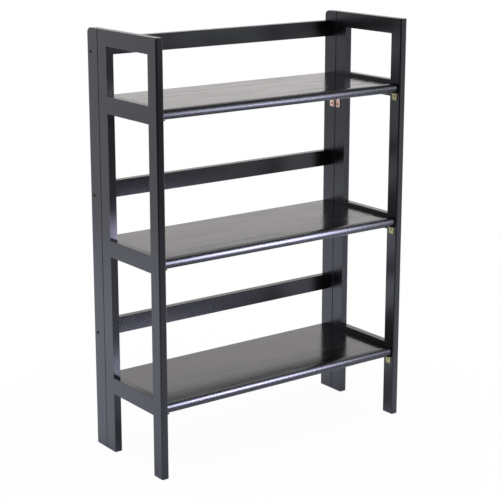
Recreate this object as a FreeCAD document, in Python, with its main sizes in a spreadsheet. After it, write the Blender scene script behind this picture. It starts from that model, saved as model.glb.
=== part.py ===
import FreeCAD, Part

import os
import re

import Sketcher

# A folding bookcase with three shelves.
# Two stiles and three rails make the back. A frame of two posts and four rails is hinged to each
# stile and turns in behind the stile's front face. Each shelf turns up on two pins in the stiles,
# into the room between the back rails and the folded side frames.
# Millimetres, +X to the right, +Y to the back, +Z up, origin on the floor under the middle.

DRIVING_SIZES = {
    # the whole
    "width_over_all": 698,
    "depth_over_all": 279,
    "board_thickness": 18,
    "edge_round": 3,
    "edge_ease": 0.8,
    # shelf levels: the tops of the middle and upper shelves are whole pitches above the first level
    "first_level": 174,
    "lowest_shelf_drop": 4.5,
    "head_margin": 24,
    # back frame
    "rail_setback": 3,
    "back_rail_height": 38.5,
    "back_rail_rise": 91.5,
    "stile_margin": 0.4,
    "stile_corner": 12,
    # side frames
    "seam_gap": 1,
    "rear_post_depth": 36,
    "front_post_depth": 33,
    "top_rail_height": 36.5,
    "cross_rail_height": 39,
    "cross_rail_rise": 8.5,
    # shelves and their pivots
    "shelf_thickness": 20.5,
    "shelf_front_setback": 6.5,
    "shelf_rear_setback": 8,
    "shelf_end_gap": 0.6,
    "fold_gap": 0.6,
    "pivot_radius": 3,
    "pivot_in_shelf": 24,
    "pivot_in_stile": 11,
    "running_clearance": 0.05,
    "bore_end_gap": 1,
    # side hinges
    "hinge_height": 38,
    "leaf_width": 19,
    "leaf_thickness": 1.4,
    "leaf_corner": 1.5,
    "knuckle_radius": 2.9,
    "knuckle_gap": 0.3,
    "knuckle_notch_gap": 0.3,
    "hinge_pin_radius": 1.4,
    "hinge_pin_end": 0.5,
    "hinge_drop": 8,
    "folded_tip_gap": 12.9,
    # shelf supports
    "support_width": 16,
    "support_height": 18,
    "support_reach": 10,
    "support_thickness": 1.5,
    "support_bend": 2.5,
    "support_corner": 2,
    "support_setback": 8.5,
    "support_gap": 0.2,
    # hinge screws, countersunk
    "hinge_screw_radius": 1.4,
    "hinge_screw_head": 2.9,
    "hinge_screw_length": 14,
    "hinge_screw_land": 0.2,
    "hinge_screw_inset": 7.5,
    "hinge_screw_reach": 11,
    # support screws, raised head
    "support_screw_radius": 1.75,
    "support_screw_head": 3.2,
    "support_screw_head_height": 1.8,
    "support_screw_length": 14,
    "support_screw_clearance": 0.15,
    "support_screw_drop": 9,
    # rail screws, raised head
    "rail_screw_radius": 2.2,
    "rail_screw_head": 5,
    "rail_screw_head_height": 2.4,
    "rail_screw_length": 45,
    "rail_screw_clearance": 0.15,
    "rail_screw_rise": 9,
    # flat dowels
    "dowel_thickness": 7,
    "dowel_width": 18,
    "dowel_length": 30,
    "dowel_end_gap": 0.5,
    "back_dowel_drop": 13,
    "back_dowel_in_stile": 11,
    # how far a cut runs past the face that it opens
    "cut_overrun": 1,
}

DERIVED_SIZES = {
    "back_face": "=depth_over_all / 2",
    "rail_front": "=back_face - rail_setback - board_thickness",
    "rail_middle": "=back_face - rail_setback - board_thickness / 2",
    "pivot_place": "=rail_front - fold_gap - shelf_thickness / 2",
    "stile_depth": "=rail_setback + board_thickness + fold_gap + shelf_thickness + stile_margin",
    "stile_front": "=back_face - stile_depth",
    "seam_middle": "=stile_front - seam_gap / 2",
    "rear_post_back": "=stile_front - seam_gap",
    "rear_post_front": "=rear_post_back - rear_post_depth",
    "front_post_back": "=front_post_depth - back_face",
    "side_rail_length": "=rear_post_front - front_post_back",
    "inner_face": "=width_over_all / 2 - board_thickness",
    "board_middle": "=width_over_all / 2 - board_thickness / 2",
    "shelf_length": "=2 * (inner_face - shelf_end_gap)",
    "shelf_reach": "=pivot_place + back_face - shelf_front_setback",
    "shelf_tail": "=back_face - shelf_rear_setback - pivot_place",
    "tail_swing": "=sqrt(shelf_tail * shelf_tail + shelf_thickness * shelf_thickness / 4)",
    "tier_pitch": "=shelf_reach + folded_tip_gap + hinge_height + hinge_drop + tail_swing",
    "tier_bottom": "=first_level",
    "tier_middle": "=first_level + tier_pitch",
    "tier_top": "=first_level + 2 * tier_pitch",
    "level_bottom": "=tier_bottom - lowest_shelf_drop",
    "level_middle": "=tier_middle",
    "level_top": "=tier_top",
    "height_over_all": "=tier_top + back_rail_rise + back_rail_height + head_margin",
    "top_rail_bottom": "=height_over_all - top_rail_height",
    "support_middle": "=support_setback + support_width / 2 - back_face",
    "support_screw_depth": "=support_screw_length - support_thickness + bore_end_gap",
    "hinge_screw_depth": "=hinge_screw_length - leaf_thickness + bore_end_gap",
    "countersink_depth": "=leaf_thickness - hinge_screw_land",
}

LEVELS = ("bottom", "middle", "top")
HINGED_LEVELS = {"lower": "bottom", "upper": "top"}
SIDES = {"left": -1, "right": 1}
KNUCKLE_COUNT = 3
BACK_LEAF_KNUCKLES = (0, 2)
SIDE_LEAF_KNUCKLES = (1,)

# a screw and the hole that holds it have this many sides
SCREW_SIDES = 8

# angles in degrees: by the tapers, a screw's head narrows away from its sketch
COUNTERSUNK_TAPER = -45
RAISED_HEAD_TAPER = -37
HALF_TURN = 180

# how near an edge lies to a place that names it, as a share of the board's thickness
near_share = 0.0005

document = FreeCAD.newDocument("folding_bookcase")
sheet = document.addObject("Spreadsheet::Sheet", "sizes")
sub_parts = []


def fill_sheet():
    """Writes each size with its name beside it."""
    rows = list(DRIVING_SIZES.items()) + list(DERIVED_SIZES.items())
    for row, (name, content) in enumerate(rows, start=1):
        sheet.set(f"A{row}", name)
        sheet.set(f"B{row}", str(content))
        sheet.setAlias(f"B{row}", name)
    document.recompute()


def bound(text):
    """An expression in the sheet's names, as the other objects of the document read it."""
    known = set(DRIVING_SIZES) | set(DERIVED_SIZES)
    return re.sub(r"[a-z_]+", lambda m: f"sizes.{m[0]}" if m[0] in known else m[0], text)


def value(text):
    """The number that an expression in the sheet's names has now."""
    return float(sheet.evalExpression(bound(text)))


def new_body(label):
    """An empty body that becomes one sub-part."""
    body = document.addObject("PartDesign::Body", label)
    body.Label = label
    return body


def put(body, x="0", y="0", z="0"):
    """Places a body in the frame and counts it as a sub-part."""
    for axis, text in (("x", x), ("y", y), ("z", z)):
        body.setExpression(f"Placement.Base.{axis}", bound(text))
    sub_parts.append(body)


def sketch_on(body, name, role, offset="0"):
    """A sketch on one of the body's own planes, moved along the plane's normal."""
    plane = next(f for f in body.Origin.OriginFeatures if f.Role == role)
    sketch = body.newObject("Sketcher::SketchObject", name)
    sketch.AttachmentSupport = [(plane, "")]
    sketch.MapMode = "FlatFace"
    sketch.setExpression("AttachmentOffset.Base.z", bound(offset))
    return sketch


def hold(sketch, kind, where, text):
    """A dimension of a sketch, tied to an expression."""
    place = sketch.addConstraint(Sketcher.Constraint(kind, *where, value(text)))
    name = f"size_{place}"
    sketch.renameConstraint(place, name)
    sketch.setExpression(f"Constraints.{name}", bound(text))


def hold_point(sketch, geometry, position, x, y):
    """Both coordinates of a sketch point, each tied to an expression."""
    hold(sketch, "DistanceX", (geometry, position), x)
    hold(sketch, "DistanceY", (geometry, position), y)


def outline(sketch, corners):
    """A closed run of straight lines through corners given as pairs of expressions."""
    first = sketch.GeometryCount
    count = len(corners)
    points = [FreeCAD.Vector(value(x), value(y), 0) for x, y in corners]
    for i in range(count):
        sketch.addGeometry(Part.LineSegment(points[i], points[(i + 1) % count]))
    for i in range(count):
        after = first + (i + 1) % count
        sketch.addConstraint(Sketcher.Constraint("Coincident", first + i, 2, after, 1))
    for i, (x, y) in enumerate(corners):
        hold_point(sketch, first + i, 1, x, y)


def rectangle(sketch, left, right, low, high):
    """A rectangle between two pairs of expressions."""
    outline(sketch, [(left, low), (right, low), (right, high), (left, high)])


def circles(sketch, places, radius):
    """Circles of one radius round places given as pairs of expressions."""
    for x, y in places:
        centre = FreeCAD.Vector(value(x), value(y), 0)
        circle = Part.Circle(centre, FreeCAD.Vector(0, 0, 1), value(radius))
        place = sketch.addGeometry(circle)
        hold_point(sketch, place, 3, x, y)
        hold(sketch, "Radius", (place,), radius)


def screw_outlines(sketch, places, radius):
    """Many-sided outlines of one radius round places given as pairs of expressions."""
    for x, y in places:
        corners = []
        for i in range(SCREW_SIDES):
            angle = (2 * i + 1) * HALF_TURN / SCREW_SIDES
            corners.append((f"{x} + ({radius}) * cos({angle})", f"{y} + ({radius}) * sin({angle})"))
        outline(sketch, corners)


def mortises(sketch, places, across, along):
    """Rectangles of one size round places given as pairs of expressions."""
    for x, y in places:
        rectangle(sketch, f"{x} - {across} / 2", f"{x} + {across} / 2",
                  f"{y} - {along} / 2", f"{y} + {along} / 2")


def give_thickness(feature, sketch, length, way):
    """Sets how far a sketch is raised or cut: both sides of its plane, or one side of it."""
    feature.Profile = sketch
    feature.setExpression("Length", bound(length))
    if way == "both":
        feature.SideType = "Symmetric"
    feature.Reversed = way == "reversed"


def pad(body, name, sketch, length, way="both", taper=0):
    """Raises a sketch into the body."""
    feature = body.newObject("PartDesign::Pad", name)
    give_thickness(feature, sketch, length, way)
    feature.TaperAngle = taper
    document.recompute()


def pocket(body, name, sketch, length, way="forward"):
    """Cuts a sketch out of the body, away from its plane's normal unless it is reversed."""
    before = body.Tip.Shape.Volume
    feature = body.newObject("PartDesign::Pocket", name)
    give_thickness(feature, sketch, length, way)
    document.recompute()
    if not feature.Shape.Volume < before:
        raise RuntimeError(f"{body.Label}: {name} cuts nothing")


def near(number, *places):
    """Whether a coordinate is at one of the places."""
    margin = value("board_thickness") * near_share
    return any(abs(number - place) < margin for place in places)


def ends(edge):
    """The points at an edge's ends."""
    return [vertex.Point for vertex in edge.Vertexes]


def runs_along(edge, axis):
    """Whether an edge is straight and lies along the body's x, y or z axis."""
    return isinstance(edge.Curve, Part.Line) and near(abs(getattr(edge.Curve.Direction, axis)), 1)


def dress(body, name, kind, size, wanted):
    """Rounds (Fillet) or bevels (Chamfer) the edges that the test picks from the body so far."""
    base = body.Tip
    picked = [f"Edge{i}" for i, edge in enumerate(base.Shape.Edges, start=1) if wanted(edge)]
    if not picked:
        raise RuntimeError(f"{body.Label}: {name} finds no edge")
    feature = body.newObject(f"PartDesign::{kind}", name)
    feature.Base = (base, picked)
    feature.setExpression("Radius" if kind == "Fillet" else "Size", bound(size))
    document.recompute()


def on_both_sides(build):
    """Calls a builder for the left side and for the right one."""
    for side, out in SIDES.items():
        build(side, out)


def back_rail_bottom(level):
    """The height of a back rail's lower edge."""
    return f"tier_{level} + back_rail_rise"


def cross_rail_bottom(level):
    """The height of a cross rail's lower edge."""
    return f"tier_{level} + cross_rail_rise - cross_rail_height"


def pivot_height(level):
    """The height of a shelf's pins."""
    return f"level_{level} - shelf_thickness / 2"


def support_top(level):
    """The height of the supports under a shelf."""
    return f"level_{level} - shelf_thickness - support_gap"


def hinge_middle(place):
    """The height of a hinge's middle: it stays below the tail of the shelf over it as that swings."""
    return f"{pivot_height(HINGED_LEVELS[place])} - tail_swing - hinge_drop - hinge_height / 2"


def hinge_screw_heights():
    """The heights of the screws of both hinges of a side."""
    half = "(hinge_height / 2 - hinge_screw_inset)"
    return [f"{hinge_middle(place)} {sign} {half}" for place in HINGED_LEVELS for sign in "-+"]


def side_rails():
    """Each rail of a side frame: its name, the height of its lower edge and its own height."""
    rails = {"top_rail": ("top_rail_bottom", "top_rail_height")}
    for level, name in zip(LEVELS, ("lower_rail", "middle_rail", "upper_rail")):
        rails[name] = (cross_rail_bottom(level), "cross_rail_height")
    return rails


def side_rail_middles():
    """The heights of the side rails' middles, where their flat dowels are."""
    return [f"{bottom} + {height} / 2" for bottom, height in side_rails().values()]


def cut_inner_face(body, name, out, middle, places, depth, draw, *sizes):
    """Blind holes in the inner face of an upright, drawn round (y, z) places in the frame."""
    sketch = sketch_on(body, f"{name}_places", "YZ_Plane", f"{-out} * board_thickness / 2")
    draw(sketch, [(f"{y} - ({middle})", z) for y, z in places], *sizes)
    pocket(body, name, sketch, depth, "reversed" if out > 0 else "forward")


def upright(label, depth, rounded_face=0, joined_face=0, top_corner=None):
    """A post or stile that stands on its own origin, with bevelled edges.

    A face is -1 for the front, 1 for the back and 0 for neither. The long edges of the rounded face
    are round, and those of the joined face stay sharp, as the rails butt against it. The top corner
    names the radius at the top of the back face.
    """
    body = new_body(label)
    sketch = sketch_on(body, "side_outline", "YZ_Plane")
    rectangle(sketch, f"-({depth}) / 2", f"({depth}) / 2", "0", "height_over_all")
    pad(body, "board", sketch, "board_thickness")
    half_x = value("board_thickness") / 2
    half_y = value(depth) / 2
    top = value("height_over_all")
    if top_corner:
        dress(body, "top_corner", "Fillet", top_corner, lambda edge: all(
            near(p.y, half_y) and near(p.z, top) for p in ends(edge)))
    if rounded_face:
        dress(body, "rounded_edges", "Fillet", "edge_round", lambda edge: runs_along(edge, "z") and all(
            near(p.y, rounded_face * half_y) for p in ends(edge)))

    def is_bevelled(edge):
        points = ends(edge)
        at_border = all(near(abs(p.y), half_y) for p in points)
        at_side = all(near(abs(p.x), half_x) for p in points)
        at_top = all(near(p.z, top) for p in points)
        if all(near(p.z, 0) for p in points):
            return True
        if all(near(p.y, joined_face * half_y) for p in points):
            return False
        if runs_along(edge, "x"):
            return at_border and at_top
        if runs_along(edge, "z"):
            return at_border and at_side
        return at_top or at_side

    dress(body, "bevelled_edges", "Chamfer", "edge_ease", is_bevelled)
    return body


def build_stile(side, out):
    """An upright of the back, with bores for the pins, the rails' fixings and the hinges' screws."""
    middle = "back_face - stile_depth / 2"
    body = upright(f"back_stile_{side}", "stile_depth", top_corner="stile_corner")
    pivots = [("pivot_place", pivot_height(level)) for level in LEVELS]
    cut_inner_face(body, "pivot_bores", out, middle, pivots, "pivot_in_stile + bore_end_gap",
                   circles, "pivot_radius + running_clearance")
    dowels = [("rail_middle", f"{back_rail_bottom(level)} + back_rail_height - back_dowel_drop")
              for level in LEVELS]
    cut_inner_face(body, "dowel_mortises", out, middle, dowels, "back_dowel_in_stile + dowel_end_gap",
                   mortises, "dowel_thickness", "dowel_width")
    screws = [("rail_middle", f"{back_rail_bottom(level)} + rail_screw_rise") for level in LEVELS]
    cut_inner_face(body, "rail_screw_holes", out, middle, screws, "board_thickness + cut_overrun",
                   screw_outlines, "rail_screw_radius + rail_screw_clearance")
    hinge = [("seam_middle + hinge_screw_reach", z) for z in hinge_screw_heights()]
    cut_inner_face(body, "hinge_screw_holes", out, middle, hinge, "hinge_screw_depth",
                   screw_outlines, "hinge_screw_radius")
    put(body, f"{out} * board_middle", middle)


def cut_post_for_rails(body, depth, toward_back):
    """A mortise for every side rail, in the back face of a front post or the front of a rear one."""
    offset = f"{'-' if toward_back else ''}({depth}) / 2"
    sketch = sketch_on(body, "mortise_places", "XZ_Plane", offset)
    mortises(sketch, [("0", z) for z in side_rail_middles()], "dowel_thickness", "dowel_width")
    pocket(body, "mortises", sketch, "dowel_length / 2 + dowel_end_gap",
           "reversed" if toward_back else "forward")


def build_rear_post(side, out):
    """The hinged upright of a side frame."""
    middle = "rear_post_back - rear_post_depth / 2"
    body = upright(f"side_rear_post_{side}", "rear_post_depth", joined_face=-1)
    cut_post_for_rails(body, "rear_post_depth", False)
    hinge = [("seam_middle - hinge_screw_reach", z) for z in hinge_screw_heights()]
    cut_inner_face(body, "hinge_screw_holes", out, middle, hinge, "hinge_screw_depth",
                   screw_outlines, "hinge_screw_radius")
    put(body, f"{out} * board_middle", middle)


def build_front_post(side, out):
    """The front upright of a side frame, which carries the shelf supports."""
    middle = "front_post_depth / 2 - back_face"
    body = upright(f"side_front_post_{side}", "front_post_depth", rounded_face=-1, joined_face=1)
    cut_post_for_rails(body, "front_post_depth", True)
    screws = [("support_middle", f"{support_top(level)} - support_screw_drop") for level in LEVELS]
    cut_inner_face(body, "support_screw_holes", out, middle, screws, "support_screw_depth",
                   screw_outlines, "support_screw_radius")
    put(body, f"{out} * board_middle", middle)


def build_side_rails(side, out):
    """The four rails between the posts of a side frame, with a mortise in each end."""
    for name, (bottom, height) in side_rails().items():
        body = new_body(f"side_{name}_{side}")
        sketch = sketch_on(body, "side_outline", "YZ_Plane")
        rectangle(sketch, "-side_rail_length / 2", "side_rail_length / 2", "0", height)
        pad(body, "board", sketch, "board_thickness")
        dress(body, "bevelled_edges", "Chamfer", "edge_ease", lambda edge: runs_along(edge, "y"))
        for end, way in (("front", "forward"), ("back", "reversed")):
            offset = f"{'-' if end == 'back' else ''}side_rail_length / 2"
            place = sketch_on(body, f"{end}_mortise_place", "XZ_Plane", offset)
            mortises(place, [("0", f"{height} / 2")], "dowel_thickness", "dowel_width")
            pocket(body, f"{end}_mortise", place, "dowel_length / 2 + dowel_end_gap", way)
        put(body, f"{out} * board_middle", "(rear_post_front + front_post_back) / 2", bottom)


def build_back_rail(level):
    """A rail between the stiles, with a mortise and a screw hole in each end."""
    body = new_body(f"back_rail_{level}")
    sketch = sketch_on(body, "face_outline", "XZ_Plane")
    rectangle(sketch, "-inner_face", "inner_face", "0", "back_rail_height")
    pad(body, "board", sketch, "board_thickness")
    dress(body, "bevelled_edges", "Chamfer", "edge_ease", lambda edge: runs_along(edge, "x"))
    for end, sign, way in (("left", "-", "reversed"), ("right", "", "forward")):
        dowel = sketch_on(body, f"{end}_mortise_place", "YZ_Plane", f"{sign}inner_face")
        mortises(dowel, [("0", "back_rail_height - back_dowel_drop")], "dowel_thickness", "dowel_width")
        pocket(body, f"{end}_mortise", dowel, "dowel_length - back_dowel_in_stile + dowel_end_gap", way)
        screw = sketch_on(body, f"{end}_screw_place", "YZ_Plane", f"{sign}inner_face")
        screw_outlines(screw, [("0", "rail_screw_rise")], "rail_screw_radius")
        pocket(body, f"{end}_screw_hole", screw,
               "rail_screw_length - board_thickness + bore_end_gap", way)
    put(body, "0", "rail_middle", back_rail_bottom(level))


def build_shelf(level):
    """A shelf about its own pin axis, with a bullnose front and a pin bore in each end."""
    body = new_body(f"shelf_{level}")
    sketch = sketch_on(body, "section", "YZ_Plane")
    half = "shelf_thickness / 2"
    nose = f"{half} - shelf_reach"
    corners = [(nose, f"-{half}"), ("shelf_tail", f"-{half}"), ("shelf_tail", half), (nose, half)]
    points = [FreeCAD.Vector(value(x), value(y), 0) for x, y in corners]
    for i in range(3):
        sketch.addGeometry(Part.LineSegment(points[i], points[i + 1]))
    tip = FreeCAD.Vector(-value("shelf_reach"), 0, 0)
    bullnose = sketch.addGeometry(Part.Arc(points[3], tip, points[0]))
    for i in range(3):
        sketch.addConstraint(Sketcher.Constraint("Coincident", i, 2, i + 1, 1))
    sketch.addConstraint(Sketcher.Constraint("Coincident", bullnose, 2, 0, 1))
    for i in range(3):
        hold_point(sketch, i, 1, *corners[i])
    hold_point(sketch, 2, 2, *corners[3])
    hold(sketch, "DistanceX", (bullnose, 3), nose)
    pad(body, "board", sketch, "shelf_length")
    half_x = value("shelf_length") / 2
    tail = value("shelf_tail")

    def is_bevelled(edge):
        at_end = all(near(abs(p.x), half_x) for p in ends(edge))
        return at_end or (runs_along(edge, "x") and all(near(p.y, tail) for p in ends(edge)))

    dress(body, "bevelled_edges", "Chamfer", "edge_ease", is_bevelled)
    for end, sign, way in (("left", "-", "reversed"), ("right", "", "forward")):
        place = sketch_on(body, f"{end}_bore_place", "YZ_Plane", f"{sign}shelf_length / 2")
        circles(place, [("0", "0")], "pivot_radius")
        pocket(body, f"{end}_bore", place, "pivot_in_shelf + bore_end_gap", way)
    put(body, "0", "pivot_place", pivot_height(level))


def build_leaf(label, place, out, along, own):
    """One leaf of a hinge about the pin's axis, with the knuckles that it owns.

    out is the side that the wood is on, and along says which way the leaf runs from the pin.
    """
    body = new_body(label)
    plate_middle = f"{out} * (knuckle_radius - leaf_thickness / 2)"
    plate = sketch_on(body, "plate_outline", "YZ_Plane", plate_middle)
    rectangle(plate, "0", f"{along} * leaf_width", "-hinge_height / 2", "hinge_height / 2")
    pad(body, "plate", plate, "leaf_thickness")
    share = f"hinge_height / {KNUCKLE_COUNT}"
    notch_reach = f"{along} * (knuckle_radius + knuckle_notch_gap)"
    for i in range(KNUCKLE_COUNT):
        low = f"{i} * {share} - hinge_height / 2"
        high = f"{i + 1} * {share} - hinge_height / 2"
        if i in own:
            low += " + knuckle_gap / 2" if i > 0 else ""
            high += " - knuckle_gap / 2" if i < KNUCKLE_COUNT - 1 else ""
            ring = sketch_on(body, f"knuckle_{i}_outline", "XY_Plane", low)
            circles(ring, [("0", "0")], "knuckle_radius")
            pad(body, f"knuckle_{i}", ring, f"{high} - ({low})", "forward")
        else:
            notch = sketch_on(body, f"notch_{i}_outline", "YZ_Plane", plate_middle)
            rectangle(notch, f"{-along} * cut_overrun", notch_reach,
                      f"{low} - knuckle_gap / 2", f"{high} + knuckle_gap / 2")
            pocket(body, f"notch_{i}", notch, "2 * leaf_thickness", "both")
    bore = sketch_on(body, "bore_outline", "XY_Plane", "hinge_height / 2")
    circles(bore, [("0", "0")], "hinge_pin_radius")
    pocket(body, "bore", bore, "hinge_height + cut_overrun")
    finish_leaf(body, out, along)
    put(body, f"{out} * (inner_face - knuckle_radius)", "seam_middle", hinge_middle(place))


def finish_leaf(body, out, along):
    """Bevels a leaf's free corners and sinks its screw holes."""
    half = value("hinge_height") / 2
    far = along * value("leaf_width")
    dress(body, "corners", "Chamfer", "leaf_corner",
          lambda edge: runs_along(edge, "x")
          and all(near(p.y, far) and near(abs(p.z), half) for p in ends(edge)))
    front = f"{out} * (knuckle_radius - leaf_thickness)"
    places = [(f"{along} * hinge_screw_reach", f"{sign}(hinge_height / 2 - hinge_screw_inset)")
              for sign in ("-", "")]
    holes = sketch_on(body, "hole_places", "YZ_Plane", front)
    screw_outlines(holes, places, f"hinge_screw_head - countersink_depth / cos({HALF_TURN / SCREW_SIDES})")
    pocket(body, "holes", holes, "leaf_thickness + cut_overrun", "reversed" if out > 0 else "forward")
    centres = [FreeCAD.Vector(value(front), value(y), value(z)) for y, z in places]
    reach = value("hinge_screw_head")
    dress(body, "countersinks", "Chamfer", "countersink_depth", lambda edge: all(
        near(p.x, value(front)) and any(p.distanceToPoint(centre) < reach for centre in centres)
        for p in ends(edge)))


def build_hinge_pin(label, place, out):
    """The pin of a hinge, which stands a little out of both ends of the knuckles."""
    body = round_bar(label, "hinge_pin_radius - running_clearance", "hinge_height + 2 * hinge_pin_end")
    put(body, f"{out} * (inner_face - knuckle_radius)", "seam_middle", hinge_middle(place))


def build_hinges(side, out):
    """The two butt hinges that join a side frame to its stile."""
    for place in HINGED_LEVELS:
        build_leaf(f"hinge_{place}_{side}_back_leaf", place, out, 1, BACK_LEAF_KNUCKLES)
        build_leaf(f"hinge_{place}_{side}_side_leaf", place, out, -1, SIDE_LEAF_KNUCKLES)
        build_hinge_pin(f"hinge_{place}_{side}_pin", place, out)


def build_supports(side, out):
    """The brass angles on a front post, one under each shelf."""
    for level in LEVELS:
        body = new_body(f"support_{level}_{side}")
        sketch = sketch_on(body, "section", "XZ_Plane")
        reach = f"{-out} * support_reach"
        wall = f"{-out} * support_thickness"
        outline(sketch, [("0", "0"), ("0", "-support_height"), (wall, "-support_height"),
                         (wall, "-support_thickness"), (reach, "-support_thickness"), (reach, "0")])
        pad(body, "angle", sketch, "support_width")
        half = value("support_width") / 2
        low = -value("support_height")
        far = value("support_reach")
        dress(body, "bend", "Fillet", "support_bend",
              lambda edge: all(near(p.x, 0) and near(p.z, 0) for p in ends(edge)))

        def is_corner(edge):
            at_foot = runs_along(edge, "x") and all(near(p.z, low) for p in ends(edge))
            at_tip = runs_along(edge, "z") and all(near(abs(p.x), far) for p in ends(edge))
            return (at_foot or at_tip) and all(near(abs(p.y), half) for p in ends(edge))

        dress(body, "corners", "Chamfer", "support_corner", is_corner)
        hole = sketch_on(body, "hole_place", "YZ_Plane", wall)
        screw_outlines(hole, [("0", "-support_screw_drop")],
                       "support_screw_radius + support_screw_clearance")
        pocket(body, "hole", hole, "support_thickness + cut_overrun",
               "reversed" if out > 0 else "forward")
        put(body, f"{out} * inner_face", "support_middle", support_top(level))


def screw(label, kind, head_height, head_way, taper, shank_top):
    """One screw with its head up: the head is raised from z = 0 one way, and the shank goes down."""
    body = new_body(label)
    head = sketch_on(body, "head_outline", "XY_Plane")
    screw_outlines(head, [("0", "0")], f"{kind}_screw_head")
    pad(body, "head", head, head_height, head_way, taper)
    shank = sketch_on(body, "shank_outline", "XY_Plane", shank_top)
    screw_outlines(shank, [("0", "0")], f"{kind}_screw_radius")
    pad(body, "shank", shank, f"{kind}_screw_length + ({shank_top})", "reversed")
    return body


def screw_with_raised_head(kind):
    """One screw whose head stands on z = 0."""
    height = f"{kind}_screw_head_height"
    return screw(f"{kind}_screw", kind, height, "forward", RAISED_HEAD_TAPER, "0")


def countersunk_screw(kind):
    """One screw whose head fills the hole in a leaf, with its face at z = 0."""
    return screw(f"{kind}_screw", kind, "leaf_thickness", "reversed", COUNTERSUNK_TAPER, "-leaf_thickness")


def round_bar(label, radius, length):
    """A plain round pin along Z about its own middle."""
    body = new_body(label)
    sketch = sketch_on(body, "outline", "XY_Plane")
    circles(sketch, [("0", "0")], radius)
    pad(body, "bar", sketch, length)
    return body


def flat_dowel(label, across, along):
    """A flat dowel along Z about its own middle, with its widths along X and Y."""
    body = new_body(label)
    sketch = sketch_on(body, "outline", "XY_Plane")
    mortises(sketch, [("0", "0")], across, along)
    pad(body, "bar", sketch, "dowel_length")
    return body


def group(label, pattern, places):
    """Copies of one piece as separate solids of one sub-part.

    Each place is a point as three expressions and the way that the piece's Z axis points there.
    """
    copies = []
    for point, axis in places:
        spot = FreeCAD.Vector(*[value(text) for text in point])
        facing = FreeCAD.Rotation(FreeCAD.Vector(0, 0, 1), FreeCAD.Vector(*axis))
        copy = pattern.Shape.copy()
        copy.Placement = FreeCAD.Placement(spot, facing)
        copies.append(copy)
    feature = document.addObject("Part::Feature", label)
    feature.Label = label
    feature.Shape = Part.makeCompound(copies)
    feature.Placement = FreeCAD.Placement()
    sub_parts.append(feature)


def build_fixings():
    """Every screw, dowel and shelf pin, in groups of like pieces."""
    hinge_screw = countersunk_screw("hinge")
    support_screw = screw_with_raised_head("support")
    rail_screw = screw_with_raised_head("rail")
    back_dowel = flat_dowel("back_dowel", "dowel_width", "dowel_thickness")
    side_dowel = flat_dowel("side_dowel", "dowel_thickness", "dowel_width")
    pin = round_bar("shelf_pin", "pivot_radius", "pivot_in_shelf + shelf_end_gap + pivot_in_stile")

    leaf_face = "(inner_face - leaf_thickness)"
    hinge_places = [
        ((f"{out} * {leaf_face}", f"seam_middle {sign} hinge_screw_reach", z), (-out, 0, 0))
        for out in SIDES.values() for sign in "-+" for z in hinge_screw_heights()]
    group("hinge_screws", hinge_screw, hinge_places)

    support_places = [
        ((f"{out} * (inner_face - support_thickness)", "support_middle",
          f"{support_top(level)} - support_screw_drop"), (-out, 0, 0))
        for out in SIDES.values() for level in LEVELS]
    group("support_screws", support_screw, support_places)

    rail_places = [
        ((f"{out} * width_over_all / 2", "rail_middle",
          f"{back_rail_bottom(level)} + rail_screw_rise"), (out, 0, 0))
        for out in SIDES.values() for level in LEVELS]
    group("rail_screws", rail_screw, rail_places)

    dowel_place = "(inner_face + back_dowel_in_stile - dowel_length / 2)"
    back_places = [
        ((f"{out} * {dowel_place}", "rail_middle",
          f"{back_rail_bottom(level)} + back_rail_height - back_dowel_drop"), (out, 0, 0))
        for out in SIDES.values() for level in LEVELS]
    group("rail_dowels", back_dowel, back_places)

    for side, out in SIDES.items():
        side_places = [
            ((f"{out} * board_middle", joint, z), (0, 1, 0))
            for joint in ("front_post_back", "rear_post_front") for z in side_rail_middles()]
        group(f"side_frame_dowels_{side}", side_dowel, side_places)

    for level in LEVELS:
        pin_middle = "(inner_face + pivot_in_stile / 2 - shelf_end_gap / 2 - pivot_in_shelf / 2)"
        pins = [((f"{out} * {pin_middle}", "pivot_place", pivot_height(level)), (out, 0, 0))
                for out in SIDES.values()]
        group(f"shelf_pins_{level}", pin, pins)


def check_document():
    """Stops if an object has failed or a sub-part isn't a sound shape."""
    document.recompute()
    for item in document.Objects:
        if {"Invalid", "Error"} & set(item.State):
            raise RuntimeError(f"{item.Label} ({item.Name}) has failed: {item.State}")
    for item in sub_parts:
        if item.Shape.isNull() or not item.Shape.isValid():
            raise RuntimeError(f"{item.Label} has no sound shape")


def write_parts():
    """Writes each sub-part to the file that its label names."""
    os.makedirs("parts", exist_ok=True)
    for item in sub_parts:
        item.Shape.exportStep(f"parts/{item.Label}.step")
        print(f"{item.Label}: {len(item.Shape.Solids)} solid(s)")


fill_sheet()
on_both_sides(build_stile)
for shelf_level in LEVELS:
    build_back_rail(shelf_level)
on_both_sides(build_rear_post)
on_both_sides(build_front_post)
on_both_sides(build_side_rails)
on_both_sides(build_hinges)
on_both_sides(build_supports)
for shelf_level in LEVELS:
    build_shelf(shelf_level)
build_fixings()
check_document()
write_parts()
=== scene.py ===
"""Finish of a folding bookcase: black lacquer, brass fittings, round screws, a white studio and a camera."""

import math
from collections import namedtuple

import bmesh
import bpy
from mathutils import Matrix, Vector


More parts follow.
